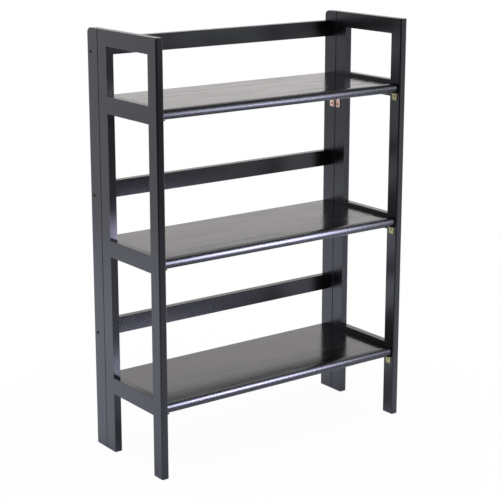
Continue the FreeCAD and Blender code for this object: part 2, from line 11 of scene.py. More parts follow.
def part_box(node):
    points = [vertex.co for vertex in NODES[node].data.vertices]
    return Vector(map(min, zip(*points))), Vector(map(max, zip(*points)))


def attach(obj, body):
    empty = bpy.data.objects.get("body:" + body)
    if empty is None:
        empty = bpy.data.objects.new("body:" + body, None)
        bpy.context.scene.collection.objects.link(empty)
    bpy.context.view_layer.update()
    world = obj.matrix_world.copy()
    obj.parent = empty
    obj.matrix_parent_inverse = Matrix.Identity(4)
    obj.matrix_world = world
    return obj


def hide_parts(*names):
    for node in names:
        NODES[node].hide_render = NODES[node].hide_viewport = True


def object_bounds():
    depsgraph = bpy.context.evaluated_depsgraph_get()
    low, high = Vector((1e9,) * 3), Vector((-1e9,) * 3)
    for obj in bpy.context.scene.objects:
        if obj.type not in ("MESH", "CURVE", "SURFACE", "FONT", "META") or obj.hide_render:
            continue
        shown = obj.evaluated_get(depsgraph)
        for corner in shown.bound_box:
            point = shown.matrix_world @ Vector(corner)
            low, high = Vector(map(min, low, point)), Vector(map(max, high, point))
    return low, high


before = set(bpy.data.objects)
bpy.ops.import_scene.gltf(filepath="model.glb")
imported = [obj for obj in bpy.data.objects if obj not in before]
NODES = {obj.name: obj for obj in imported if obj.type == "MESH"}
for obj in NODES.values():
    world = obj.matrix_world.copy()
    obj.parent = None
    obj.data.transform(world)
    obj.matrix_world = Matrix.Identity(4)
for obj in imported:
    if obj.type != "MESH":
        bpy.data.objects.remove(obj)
CAD_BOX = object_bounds()

X_AXIS, Y_AXIS, Z_AXIS = range(3)
SIDES = {"left": -1, "right": 1}
LEVELS = ("bottom", "middle", "top")
SIDE_RAIL_LEVELS = ("top", "upper", "middle", "lower")
SHELVES = [f"shelf_{level}" for level in LEVELS]

bl_info = {
    "name": "Folding bookcase finish",
    "version": (1, 0, 0),
    "blender": (4, 5, 0),
    "location": "View3D > Sidebar > Bookcase",
    "description": "Lacquers the boards of a folding bookcase, finishes its fittings and sets up the studio",
    "category": "Material",
}


# Settings that a user would change

class LacquerSettings(bpy.types.PropertyGroup):
    """The black lacquer of the boards."""

    colour: bpy.props.FloatVectorProperty(
        name="Lacquer colour", description="Colour of the lacquer where it is thick",
        subtype="COLOR", size=3, min=0.0, max=1.0, default=(0.0046, 0.0046, 0.0062))
    fibre_colour: bpy.props.FloatVectorProperty(
        name="Fibre colour", description="Colour along the fibres, where the lacquer is thin",
        subtype="COLOR", size=3, min=0.0, max=1.0, default=(0.0120, 0.0116, 0.0128))
    # Lighter colour of the free edges: rubbed wear, and partly a painted highlight
    rubbed_highlight_colour: bpy.props.FloatVectorProperty(
        name="Rubbed colour", description="Colour of the edges, where hands have rubbed the lacquer",
        subtype="COLOR", size=3, min=0.0, max=1.0, default=(0.022, 0.020, 0.020))
    roughness: bpy.props.FloatProperty(
        name="Roughness", description="Roughness of the satin faces of posts and rails",
        subtype="FACTOR", min=0.0, max=1.0, default=0.23)
    top_roughness: bpy.props.FloatProperty(
        name="Top roughness", description="Roughness of the shelves, which are polished",
        subtype="FACTOR", min=0.0, max=1.0, default=0.11)
    rubbed_roughness: bpy.props.FloatProperty(
        name="Rubbed roughness", description="Roughness of the rubbed edges",
        subtype="FACTOR", min=0.0, max=1.0, default=0.30)
    fibre_width: bpy.props.FloatProperty(
        name="Fibre width", description="Width of one band of grain",
        unit="LENGTH", min=0.001, max=0.1, default=0.011)
    fibre_length: bpy.props.FloatProperty(
        name="Fibre length", description="Length of one band of grain",
        unit="LENGTH", min=0.01, max=2.0, default=0.36)
    grain_depth: bpy.props.FloatProperty(
        name="Grain depth", description="Depth to which the lacquer sinks into the grain",
        unit="LENGTH", min=0.0, max=0.001, precision=6, default=0.000016)
    ripple_depth: bpy.props.FloatProperty(
        name="Ripple depth", description="Height of the soft ripple that a spray gun leaves",
        unit="LENGTH", min=0.0, max=0.001, precision=6, default=0.000006)
    ripple_width: bpy.props.FloatProperty(
        name="Ripple width", description="Distance from one ripple to the next",
        unit="LENGTH", min=0.001, max=0.1, default=0.009)
    rubbed_highlight_width: bpy.props.FloatProperty(
        name="Rubbed width", description="Width of the rubbed strip along an edge",
        unit="LENGTH", min=0.0, max=0.02, default=0.0016)
    nose_roughness: bpy.props.FloatProperty(
        name="Nose roughness", description="Roughness of a shelf's front edge, which is sanded by hand",
        subtype="FACTOR", min=0.0, max=1.0, default=0.40)
    roll_width: bpy.props.FloatProperty(
        name="Roll width", description="How far a shelf's front edge rolls on into its top",
        unit="LENGTH", min=0.001, max=0.1, default=0.012)
    roll_drop: bpy.props.FloatProperty(
        name="Roll drop", description="How far the top has sunk where the roll meets the nose",
        unit="LENGTH", min=0.0, max=0.01, precision=5, default=0.0011)


class FittingSettings(bpy.types.PropertyGroup):
    """The metal of the hinges, supports, screws and pins."""

    hinge_colour: bpy.props.FloatVectorProperty(
        name="Hinge colour", description="Reddish brass of the hinges",
        subtype="COLOR", size=3, min=0.0, max=1.0, default=(0.88, 0.64, 0.51))
    support_colour: bpy.props.FloatVectorProperty(
        name="Support colour", description="Pale brass of the angles under the shelves",
        subtype="COLOR", size=3, min=0.0, max=1.0, default=(0.40, 0.385, 0.17))
    support_screw_colour: bpy.props.FloatVectorProperty(
        name="Support screw colour", description="Bright brass of the screws that hold the angles",
        subtype="COLOR", size=3, min=0.0, max=1.0, default=(0.70, 0.69, 0.46))
    pin_colour: bpy.props.FloatVectorProperty(
        name="Hinge pin colour", description="Browned brass of the hinge pins",
        subtype="COLOR", size=3, min=0.0, max=1.0, default=(0.16, 0.07, 0.035))
    bronze_colour: bpy.props.FloatVectorProperty(
        name="Bronze colour", description="Browned brass of the small screws",
        subtype="COLOR", size=3, min=0.0, max=1.0, default=(0.14, 0.085, 0.055))
    black_colour: bpy.props.FloatVectorProperty(
        name="Black colour", description="Blacked steel of the screws in the stiles",
        subtype="COLOR", size=3, min=0.0, max=1.0, default=(0.018, 0.018, 0.020))
    steel_colour: bpy.props.FloatVectorProperty(
        name="Steel colour", description="Bare steel of the shelf pins",
        subtype="COLOR", size=3, min=0.0, max=1.0, default=(0.52, 0.53, 0.55))
    dowel_colour: bpy.props.FloatVectorProperty(
        name="Dowel colour", description="Beech of the dowels inside the joints",
        subtype="COLOR", size=3, min=0.0, max=1.0, default=(0.58, 0.37, 0.20))
    scratch_width: bpy.props.FloatProperty(
        name="Scratch width", description="Width of one brush mark in the metal",
        unit="LENGTH", min=0.00001, max=0.01, precision=5, default=0.0003)
    scratch_depth: bpy.props.FloatProperty(
        name="Scratch depth", description="Depth of a brush mark",
        unit="LENGTH", min=0.0, max=0.001, precision=6, default=0.000008)


class StudioSettings(bpy.types.PropertyGroup):
    """The floor, the light and the camera."""

    floor_radius: bpy.props.FloatProperty(
        name="Floor radius", description="Radius of the round white floor",
        unit="LENGTH", min=0.5, max=20.0, default=2.2)
    floor_drop: bpy.props.FloatProperty(
        name="Floor drop", description="How far the floor lies below the feet",
        unit="LENGTH", min=0.0, max=0.01, precision=5, default=0.0002)
    floor_colour: bpy.props.FloatVectorProperty(
        name="Floor colour", description="Colour of the floor where light falls on it",
        subtype="COLOR", size=3, min=0.0, max=1.0, default=(0.80, 0.80, 0.80))
    shadow_share: bpy.props.FloatProperty(
        name="Shadow share", description="How much of the floor's white is left to light and shade",
        subtype="FACTOR", min=0.0, max=1.0, default=0.15)
    room_light: bpy.props.FloatProperty(
        name="Room light", description="Strength of the even light from all sides",
        min=0.0, max=10.0, default=0.34)
    dark_side: bpy.props.FloatProperty(
        name="Dark side", description="Brightness of the room behind the camera, as gloss shows it",
        min=0.0, max=10.0, default=0.12)
    bright_side: bpy.props.FloatProperty(
        name="Bright side", description="Brightness of the backdrop, as gloss shows it",
        min=0.0, max=10.0, default=1.10)
    overhead_share: bpy.props.FloatProperty(
        name="Overhead share", description="How much of that brightness is left overhead",
        subtype="FACTOR", min=0.0, max=1.0, default=0.22)
    near_floor: bpy.props.FloatProperty(
        name="Near floor", description="Brightness of the floor beside and behind it, as gloss shows it",
        min=0.0, max=10.0, default=1.42)
    front_floor: bpy.props.FloatProperty(
        name="Front floor", description="Brightness of the floor in front of the object, as gloss shows it",
        min=0.0, max=10.0, default=0.45)
    # Painted shade: gloss sees the floor's glow darker beneath the object
    painted_under_shade: bpy.props.FloatProperty(
        name="Under shade", description="How much of the floor's brightness gloss misses beneath the object",
        subtype="FACTOR", min=0.0, max=1.0, default=0.65)
    cool_tint: bpy.props.FloatVectorProperty(
        name="Cool tint", description="Tint of the light from the sides, as gloss shows it",
        subtype="COLOR", size=3, min=0.0, max=2.0, default=(0.94, 0.965, 1.08))
    floor_tint: bpy.props.FloatVectorProperty(
        name="Floor tint", description="Tint of the light from the floor, as gloss shows it",
        subtype="COLOR", size=3, min=0.0, max=2.0, default=(0.92, 0.955, 1.13))
    warm_tint: bpy.props.FloatVectorProperty(
        name="Warm tint", description="Tint of the backdrop, as gloss shows it",
        subtype="COLOR", size=3, min=0.0, max=2.0, default=(1.03, 0.99, 0.985))
    backdrop_heading: bpy.props.FloatProperty(
        name="Backdrop heading", description="Direction of the white backdrop, from +Y towards +X",
        subtype="ANGLE", default=math.radians(32.0))
    camera_place: bpy.props.FloatVectorProperty(
        name="Camera place", description="Where the camera stands",
        subtype="TRANSLATION", size=3, default=(-1.9669, -2.6538, 1.3114))
    camera_heading: bpy.props.FloatProperty(
        name="Camera heading", description="Where the camera points, from +Y towards +X",
        subtype="ANGLE", default=math.radians(36.484))
    camera_tilt: bpy.props.FloatProperty(
        name="Camera tilt", description="How far the camera points below the horizon",
        subtype="ANGLE", default=math.radians(13.806))
    camera_lens: bpy.props.FloatProperty(
        name="Lens", description="Focal length on a sensor 36 mm wide",
        unit="CAMERA", min=10.0, max=500.0, default=104.2)
    camera_shift: bpy.props.FloatProperty(
        name="Lens shift", description="Upward shift of the frame, as a share of its width",
        min=-1.0, max=1.0, default=-0.045)


# Helpers for shader nodes

# The distances between nodes in the editor

COLUMN_WIDTH = 210
ROW_HEIGHT = 190

# The sockets of a Mix node that share their names with others, so they are reached by number

MIX_FACTOR = 0
MIX_VALUES = (2, 3)
MIX_COLOURS = (6, 7)
MIXED_VALUE = 0
MIXED_COLOUR = 2


def add_node(tree, kind, column, row, settings=None, inputs=None):
    """Adds a node in a column and row of the editor, with its settings and its values or links."""
    made = tree.nodes.new(kind)
    made.location = (column * COLUMN_WIDTH, -row * ROW_HEIGHT)
    for name, value in (settings or {}).items():
        setattr(made, name, value)
    for name, value in (inputs or {}).items():
        connect(tree, value, made.inputs[name])
    return made


def connect(tree, value, socket):
    """Links an output to a socket, or writes a plain value into the socket."""
    if isinstance(value, bpy.types.NodeSocket):
        tree.links.new(value, socket)
    else:
        socket.default_value = value


def calculate(tree, operation, column, row, first, second):
    """A product, quotient or other plain calculation of two values."""
    settings, inputs = {"operation": operation}, {0: first, 1: second}
    return add_node(tree, "ShaderNodeMath", column, row, settings, inputs).outputs[0]


def scale_and_add(tree, column, row, value, factor, base):
    """A value times a factor, with a base added to it."""
    inputs = {0: value, 1: factor, 2: base}
    return add_node(tree, "ShaderNodeMath", column, row, {"operation": "MULTIPLY_ADD"}, inputs).outputs[0]


def calculate_vector(tree, operation, column, row, first, second=(0.0, 0.0, 0.0)):
    """A plain calculation of two vectors. A dot product comes out as a value."""
    settings, inputs = {"operation": operation}, {0: first, 1: second}
    made = add_node(tree, "ShaderNodeVectorMath", column, row, settings, inputs)
    return made.outputs["Value" if operation == "DOT_PRODUCT" else "Vector"]


def separate(tree, column, row, vector):
    """The three values of a vector, in the order of the axes."""
    return add_node(tree, "ShaderNodeSeparateXYZ", column, row, inputs={0: vector}).outputs


def stretch_range(tree, column, row, value, source, target, curve="LINEAR"):
    """Moves a value from one range to another and stops it at the ends."""
    inputs = {"Value": value, "From Min": source[0], "From Max": source[1],
              "To Min": target[0], "To Max": target[1]}
    settings = {"interpolation_type": curve, "clamp": True}
    return add_node(tree, "ShaderNodeMapRange", column, row, settings, inputs).outputs["Result"]


def mix_values(tree, column, row, factor, first, second):
    """A blend of two values."""
    inputs = {MIX_FACTOR: factor, MIX_VALUES[0]: first, MIX_VALUES[1]: second}
    made = add_node(tree, "ShaderNodeMix", column, row, {"data_type": "FLOAT"}, inputs)
    return made.outputs[MIXED_VALUE]


def mix_colours(tree, column, row, factor, first, second):
    """A blend of two colours."""
    inputs = {MIX_FACTOR: factor, MIX_COLOURS[0]: opaque(first), MIX_COLOURS[1]: opaque(second)}
    made = add_node(tree, "ShaderNodeMix", column, row, {"data_type": "RGBA"}, inputs)
    return made.outputs[MIXED_COLOUR]


def opaque(colour):
    """A colour with the fourth number that colour sockets hold, or the output that brings a colour."""
    return colour if isinstance(colour, bpy.types.NodeSocket) else (*colour, 1.0)


def noise(tree, column, row, vector, scale, detail=2.0, roughness=0.5, distortion=0.0):
    """Smooth noise from 0 to 1."""
    inputs = {"Vector": vector, "Scale": scale, "Detail": detail,
              "Roughness": roughness, "Distortion": distortion}
    return add_node(tree, "ShaderNodeTexNoise", column, row, inputs=inputs).outputs[0]


def start_group(name, inputs, outputs):
    """A new node group with named sockets, and its input and output nodes."""
    tree = bpy.data.node_groups.new(name, "ShaderNodeTree")
    for label, kind in inputs:
        tree.interface.new_socket(label, in_out="INPUT", socket_type=kind)
    for label, kind in outputs:
        tree.interface.new_socket(label, in_out="OUTPUT", socket_type=kind)
    entry = add_node(tree, "NodeGroupInput", 0, 0)
    leave = add_node(tree, "NodeGroupOutput", 9, 0)
    return tree, entry.outputs, leave.inputs


def shared_group(name, build):
    """The group of that name, built the first time that it is asked for."""
    return bpy.data.node_groups.get(name) or build(name)


def place_group(tree, column, row, name, build, inputs):
    """Puts a shared group in a material and returns its outputs."""
    made = add_node(tree, "ShaderNodeGroup", column, row, {"node_tree": shared_group(name, build)}, inputs)
    return made.outputs


# Effects that several finishes share

VALUE, VECTOR = "NodeSocketFloat", "NodeSocketVector"

# Rates count waves of noise in a metre or a band. A range is the part of a noise that is spread over 0 to 1

GRAIN_DRIFT_RATE = 0.35
GRAIN_DRIFT_REACH = 1.6
FIBRES_IN_BAND = 6.0
BAND_RANGE = (0.30, 0.70)
FIBRE_RANGE = (0.25, 0.75)
RAGGED_RATE = 38.0
RAGGED_RANGE = (0.35, 0.75)
LEAST_RAGGED = 0.15
LEAST_REACH = 0.00001
CLOUD_RATE = 9.0
CLOUD_RANGE = (0.30, 0.70)
SPECK_RATE = 620.0
SPECK_RANGE = (0.74, 0.80)
DUSTY_RATE = 5.0
DUSTY_RANGE = (0.40, 0.70)
SCRATCH_RANGE = (0.25, 0.75)
TARNISH_RATE = 130.0
TARNISH_RANGE = (0.38, 0.68)


def build_grain(name):
    """Long bands of wood grain with finer fibres in them. The vector counts in bands across and along."""
    tree, given, result = start_group(name, [("Bands", VECTOR)], [("Band", VALUE), ("Fibre", VALUE)])
    drift = noise(tree, 1, 1, given["Bands"], GRAIN_DRIFT_RATE, detail=1.0)
    bend = calculate(tree, "MULTIPLY", 2, 1, drift, GRAIN_DRIFT_REACH)
    moved = calculate_vector(tree, "ADD", 3, 0, given["Bands"], bend)
    band = noise(tree, 4, 0, moved, 1.0, detail=4.0, roughness=0.62)
    fibres = calculate_vector(tree, "MULTIPLY", 3, 1, moved, [FIBRES_IN_BAND] * 3)
    fine = noise(tree, 4, 1, fibres, 1.0, detail=3.0, roughness=0.7)
    connect(tree, stretch_range(tree, 5, 0, band, BAND_RANGE, (0.0, 1.0), "SMOOTHSTEP"), result["Band"])
    connect(tree, stretch_range(tree, 5, 1, fine, FIBRE_RANGE, (0.0, 1.0)), result["Fibre"])
    return tree


def build_rub_highlight_mask(name):
    """A mask that is 1 on the edges of a board and fades over a ragged strip beside them. It carries rubbed
    wear and a painted edge highlight.

    At an edge two of the three depths below the faces are small, so the middle one is measured.
    """
    inputs = [("Place", VECTOR), ("Centre", VECTOR), ("Half Size", VECTOR), ("Width", VALUE)]
    tree, given, result = start_group(name, inputs, [("Mask", VALUE)])
    offset = calculate_vector(tree, "SUBTRACT", 1, 0, given["Place"], given["Centre"])
    away = calculate_vector(tree, "ABSOLUTE", 2, 0, offset)
    inward = calculate_vector(tree, "SUBTRACT", 3, 0, given["Half Size"], away)
    depth = separate(tree, 4, 0, inward)
    nearer = calculate(tree, "MINIMUM", 5, 0, depth[X_AXIS], depth[Y_AXIS])
    farther = calculate(tree, "MAXIMUM", 5, 1, depth[X_AXIS], depth[Y_AXIS])
    lesser = calculate(tree, "MINIMUM", 6, 1, farther, depth[Z_AXIS])
    middle = calculate(tree, "MAXIMUM", 6, 0, nearer, lesser)
    waves = noise(tree, 1, 2, given["Place"], RAGGED_RATE, detail=4.0, roughness=0.7)
    ragged = stretch_range(tree, 2, 2, waves, RAGGED_RANGE, (LEAST_RAGGED, 1.0))
    reach = calculate(tree, "MULTIPLY", 6, 2, ragged, given["Width"])
    share = calculate(tree, "DIVIDE", 7, 0, middle, calculate(tree, "MAXIMUM", 7, 1, reach, LEAST_REACH))
    connect(tree, stretch_range(tree, 8, 0, share, (0.0, 1.0), (1.0, 0.0), "SMOOTHSTEP"), result["Mask"])
    return tree


def build_handling(name):
    """Soft cloudy marks of hands and cloths, and scattered specks of dust."""
    tree, given, result = start_group(name, [("Place", VECTOR)], [("Cloud", VALUE), ("Dust", VALUE)])
    cloud = noise(tree, 1, 0, given["Place"], CLOUD_RATE, detail=3.0, roughness=0.55, distortion=0.6)
    speck = noise(tree, 1, 1, given["Place"], SPECK_RATE, detail=1.0)
    dusty = noise(tree, 1, 2, given["Place"], DUSTY_RATE, detail=2.0)
    specks = stretch_range(tree, 2, 1, speck, SPECK_RANGE, (0.0, 1.0))
    where = stretch_range(tree, 2, 2, dusty, DUSTY_RANGE, (0.0, 1.0))
    connect(tree, stretch_range(tree, 2, 0, cloud, CLOUD_RANGE, (0.0, 1.0), "SMOOTHSTEP"), result["Cloud"])
    connect(tree, calculate(tree, "MULTIPLY", 3, 1, specks, where), result["Dust"])
    return tree


def build_ripple(name):
    """The soft waviness of a sprayed coat, from 0 to 1. The width is that of one wave."""
    tree, given, result = start_group(name, [("Place", VECTOR), ("Width", VALUE)], [("Height", VALUE)])
    rate = calculate(tree, "DIVIDE", 1, 1, 1.0, given["Width"])
    connect(tree, noise(tree, 2, 0, given["Place"], rate, detail=1.0, roughness=0.4), result["Height"])
    return tree


def build_metal_wear(name):
    """Brush marks along one direction, and tarnish in soft patches."""
    tree, given, result = start_group(
        name, [("Marks", VECTOR), ("Place", VECTOR)], [("Scratch", VALUE), ("Tarnish", VALUE)])
    scratch = noise(tree, 1, 0, given["Marks"], 1.0, detail=5.0, roughness=0.75)
    patch = noise(tree, 1, 1, given["Place"], TARNISH_RATE, detail=4.0, roughness=0.65, distortion=0.8)
    connect(tree, stretch_range(tree, 2, 0, scratch, SCRATCH_RANGE, (0.0, 1.0)), result["Scratch"])
    tarnish = stretch_range(tree, 2, 1, patch, TARNISH_RANGE, (0.0, 1.0), "SMOOTHSTEP")
    connect(tree, tarnish, result["Tarnish"])
    return tree


# Finishes

LACQUER_IOR = 1.53
DUST_COLOUR = (0.5, 0.49, 0.47)
DUST_SHARE = 0.05
CLOUD_DULLING = 0.045
PORE_DULLING = 0.05
POLISHED_PORE_DULLING = 0.20
SANDED_FADE_SHARE = 0.125

# The grain shifts by this many times a board's place, so that no two boards look the same

GRAIN_SHIFT = 7.0

SCRATCH_STRETCH = 40
SCRATCH_DULLING = 0.14
TARNISH_SHARE = 0.55
TARNISH_DULLING = 0.12

BEECH_FIBRE_WIDTH = 0.0016
BEECH_FIBRE_LENGTH = 0.03
BEECH_DARK_SHARE = 0.72
BEECH_ROUGHNESS = (0.55, 0.75)
BEECH_FIBRE_DEPTH = 0.00005

DARK_BRONZE = (0.05, 0.03, 0.02)
OLIVE_BRASS = (0.30, 0.25, 0.12)

# Each metal: the setting that holds its colour, its tarnish, its roughness and the axis it is brushed along

Metal = namedtuple("Metal", ("setting", "tarnish", "roughness", "along", "metallic"), defaults=(1.0,))
METALS = {
    "hinge_brass": Metal("hinge_colour", (0.46, 0.22, 0.13), 0.24, Z_AXIS),
    "hinge_pin_brass": Metal("pin_colour", DARK_BRONZE, 0.32, Z_AXIS),
    "bronzed_screw": Metal("bronze_colour", DARK_BRONZE, 0.30, X_AXIS),
    "support_brass": Metal("support_colour", OLIVE_BRASS, 0.26, Y_AXIS),
    "support_screw_brass": Metal("support_screw_colour", OLIVE_BRASS, 0.18, X_AXIS),
    "blacked_screw": Metal("black_colour", (0.06, 0.055, 0.05), 0.16, X_AXIS, metallic=0.0),
    "shelf_pin_steel": Metal("steel_colour", (0.20, 0.19, 0.18), 0.25, X_AXIS),
}


def start_material(name):
    """A new material with its shader, and the place on the piece that its patterns read."""
    made = bpy.data.materials.new(name)
    made.use_nodes = True
    tree = made.node_tree
    tree.nodes.clear()
    shader = add_node(tree, "ShaderNodeBsdfPrincipled", 8, 0)
    add_node(tree, "ShaderNodeOutputMaterial", 10, 0, inputs={"Surface": shader.outputs[0]})
    place = add_node(tree, "ShaderNodeTexCoord", 0, 0).outputs["Object"]
    return made, tree, shader.inputs, place


def scaled_place(tree, column, row, place, spacing, offset=(0.0, 0.0, 0.0)):
    """The place counted in steps of a spacing along each axis, from an offset in metres."""
    inputs = {"Vector": place, "Location": [o / s for o, s in zip(offset, spacing)],
              "Scale": [1.0 / s for s in spacing]}
    return add_node(tree, "ShaderNodeMapping", column, row, {"vector_type": "POINT"}, inputs).outputs[0]


def longest_axis(size):
    """The axis along which a board's grain runs."""
    return max(range(3), key=lambda axis: size[axis])


def lacquer(name, low, high, butted, nosed):
    """Black lacquer for one board: its grain runs along it, and its free edges are rubbed and painted
    lighter, partly as a highlight.

    Every board has a material of its own, because the grain's direction and the edges' places
    come from the board's box. The ends of a butted board meet other boards and aren't rubbed.
    The front edge of a nosed board is sanded by hand, and rolls on into its top.
    """
    settings = bpy.context.scene.bookcase_lacquer
    size = high - low
    along = longest_axis(size)
    half = size / 2
    if butted:
        half[along] += settings.fibre_length
    spacing = [settings.fibre_width] * 3
    spacing[along] = settings.fibre_length
    made, tree, shader, place = start_material("lacquer_" + name)
    bands = scaled_place(tree, 1, 0, place, spacing, offset=(low + high) * GRAIN_SHIFT)
    grain = place_group(tree, 2, 0, "wood_grain", build_grain, {"Bands": bands})
    rub_and_highlight = place_group(tree, 2, 1, "rubbed_edge_highlight", build_rub_highlight_mask, {
        "Place": place, "Centre": (low + high) / 2, "Half Size": half, "Width": settings.rubbed_highlight_width})
    marks = place_group(tree, 2, 2, "handling", build_handling, {"Place": place})
    ripple = place_group(tree, 2, 3, "spray_ripple", build_ripple, {
        "Place": place, "Width": settings.ripple_width})
    body = mix_colours(tree, 4, 0, grain["Band"], settings.colour, settings.fibre_colour)
    # The edges turn lighter: rubbed wear and a painted highlight
    worn_and_highlit = mix_colours(tree, 5, 0, rub_and_highlight["Mask"], body, settings.rubbed_highlight_colour)
    dusty = calculate(tree, "MULTIPLY", 5, 1, marks["Dust"], DUST_SHARE)
    connect(tree, mix_colours(tree, 6, 0, dusty, worn_and_highlit, DUST_COLOUR), shader["Base Color"])
    sheen = settings.top_roughness if nosed else settings.roughness
    smooth = scale_and_add(tree, 4, 2, marks["Cloud"], CLOUD_DULLING, sheen)
    pores = calculate(tree, "MULTIPLY", 4, 6, grain["Fibre"], grain["Band"])
    fibred = scale_and_add(tree, 5, 2, pores, POLISHED_PORE_DULLING if nosed else PORE_DULLING, smooth)
    rough = mix_values(tree, 6, 2, rub_and_highlight["Mask"], fibred, settings.rubbed_roughness)
    grain_height = calculate(tree, "MULTIPLY", 4, 3, grain["Fibre"], settings.grain_depth)
    height = scale_and_add(tree, 5, 3, ripple["Height"], settings.ripple_depth, grain_height)
    if nosed:
        height, rough = roll_nose(tree, place, low.y, size.z, height, rough)
    connect(tree, rough, shader["Roughness"])
    bump = add_node(tree, "ShaderNodeBump", 6, 3, inputs={"Height": height, "Distance": 1.0})
    connect(tree, bump.outputs[0], shader["Normal"])
    shader["IOR"].default_value = LACQUER_IOR
    return made


def roll_nose(tree, place, front, thickness, height, rough):
    """The height and roughness of a shelf whose top rolls on into its sanded front edge."""
    settings = bpy.context.scene.bookcase_lacquer
    nose_end = front + thickness / 2
    fade = thickness * SANDED_FADE_SHARE
    depth = separate(tree, 3, 5, place)[Y_AXIS]
    roll = stretch_range(tree, 4, 5, depth, (nose_end, nose_end + settings.roll_width), (1.0, 0.0))
    curved = calculate(tree, "MULTIPLY", 5, 6, roll, roll)
    sunk = calculate(tree, "MULTIPLY", 5, 5, curved, settings.roll_drop)
    sanded = stretch_range(tree, 6, 6, depth, (nose_end - fade, nose_end + fade), (1.0, 0.0))
    rolled = calculate(tree, "SUBTRACT", 7, 5, mix_values(tree, 6, 5, sanded, height, 0.0), sunk)
    return rolled, mix_values(tree, 7, 2, sanded, rough, settings.nose_roughness)


def brushed_metal(name):
    """One of the metals, brushed and slightly tarnished."""
    metal = METALS[name]
    settings = bpy.context.scene.bookcase_fittings
    colour = getattr(settings, metal.setting)
    made, tree, shader, place = start_material(name)
    spacing = [settings.scratch_width] * 3
    spacing[metal.along] = settings.scratch_width * SCRATCH_STRETCH
    wear = place_group(tree, 2, 0, "metal_wear", build_metal_wear, {
        "Marks": scaled_place(tree, 1, 0, place, spacing), "Place": place})
    dulled = calculate(tree, "MULTIPLY", 3, 0, wear["Tarnish"], TARNISH_SHARE)
    connect(tree, mix_colours(tree, 4, 0, dulled, colour, metal.tarnish), shader["Base Color"])
    brushed = scale_and_add(tree, 4, 1, wear["Scratch"], SCRATCH_DULLING, metal.roughness)
    rough = scale_and_add(tree, 5, 1, wear["Tarnish"], TARNISH_DULLING, brushed)
    connect(tree, rough, shader["Roughness"])
    height = calculate(tree, "MULTIPLY", 5, 2, wear["Scratch"], settings.scratch_depth)
    bump = add_node(tree, "ShaderNodeBump", 6, 2, inputs={"Height": height, "Distance": 1.0})
    connect(tree, bump.outputs[0], shader["Normal"])
    shader["Metallic"].default_value = metal.metallic
    return made


def bare_beech(name, along):
    """Unfinished beech of the dowels, with short fibres along them."""
    settings = bpy.context.scene.bookcase_fittings
    made, tree, shader, place = start_material(name)
    spacing = [BEECH_FIBRE_WIDTH] * 3
    spacing[along] = BEECH_FIBRE_LENGTH
    bands = scaled_place(tree, 1, 0, place, spacing)
    grain = place_group(tree, 2, 0, "wood_grain", build_grain, {"Bands": bands})
    dark = tuple(BEECH_DARK_SHARE * part for part in settings.dowel_colour)
    connect(tree, mix_colours(tree, 4, 0, grain["Band"], settings.dowel_colour, dark), shader["Base Color"])
    connect(tree, stretch_range(tree, 4, 1, grain["Fibre"], (0.0, 1.0), BEECH_ROUGHNESS), shader["Roughness"])
    height = calculate(tree, "MULTIPLY", 4, 2, grain["Fibre"], BEECH_FIBRE_DEPTH)
    bump = add_node(tree, "ShaderNodeBump", 5, 2, inputs={"Height": height, "Distance": 1.0})
    connect(tree, bump.outputs[0], shader["Normal"])
    return made


def wear_material(node, material):
    """Gives a CAD node one material in place of those that it came with."""
    slots = NODES[node].material_slots
    if not slots:
        raise RuntimeError(f"{node} has no material slot")
    for slot in slots:
        slot.material = material


def nodes_named(*beginnings):
    """The CAD nodes whose names begin with one of these words."""
    found = [name for name in sorted(NODES) if name.startswith(beginnings)]
    if not found:
        raise RuntimeError(f"no node's name begins with {beginnings}")
    return found


def lacquer_boards(names, butted=False, nosed=False):
    """Lacquers each of these boards by its own box."""
    for name in names:
        low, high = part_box(name)
        wear_material(name, lacquer(name, low, high, butted, nosed))


# Screws: their turning, in steps, and the cross in the head, as shares of the head's radius

SCREW_STEPS = 24
DOME_RINGS = 6
RECESS_REACH = 0.62
RECESS_DEPTH = 0.45
SEAT_MARGIN = 0.05
MERGE_DISTANCE = 0.00001
SHARP_ANGLE = math.radians(35.0)

# Their sizes in metres. A length counts from the face in which the head sits

HINGE_SCREW = {"head": 0.0028, "depth": 0.0014, "shank": 0.0013, "length": 0.013}
SUPPORT_SCREW = {"head": 0.0032, "height": 0.0018, "shank": 0.0016, "length": 0.0125}
RAIL_SCREW = {"head": 0.005, "height": 0.0024, "shank": 0.0021, "length": 0.044}

# Their places on the hinges, angles and rails

LEAF_THICKNESS = 0.0014
HINGE_SCREW_ASIDE = 0.011
HINGE_SCREW_ABOVE = 0.0115
ANGLE_THICKNESS = 0.0015
ANGLE_SCREW_DROP = 0.009
RAIL_SCREW_RISE = 0.009


def dome_profile(head, height, shank, length):
    """The outline of a screw with a raised head, from its tip to the top of the head, as (radius, height)."""
    points = [(0.0, -length), (shank, -length + shank), (shank, 0.0), (head, 0.0)]
    sphere = (head * head + height * height) / (2 * height)
    for ring in range(1, DOME_RINGS + 1):
        radius = head * (1 - ring / DOME_RINGS)
        points.append((radius, height - sphere + math.sqrt(sphere * sphere - radius * radius)))
    return points


def countersunk_profile(head, depth, shank, length):
    """The outline of a screw whose head ends flush with the face it sits in."""
    points = [(0.0, -length), (shank, -length + shank), (shank, -depth), (head, 0.0)]
    return points + [(head * (1 - ring / DOME_RINGS), 0.0) for ring in range(1, DOME_RINGS + 1)]


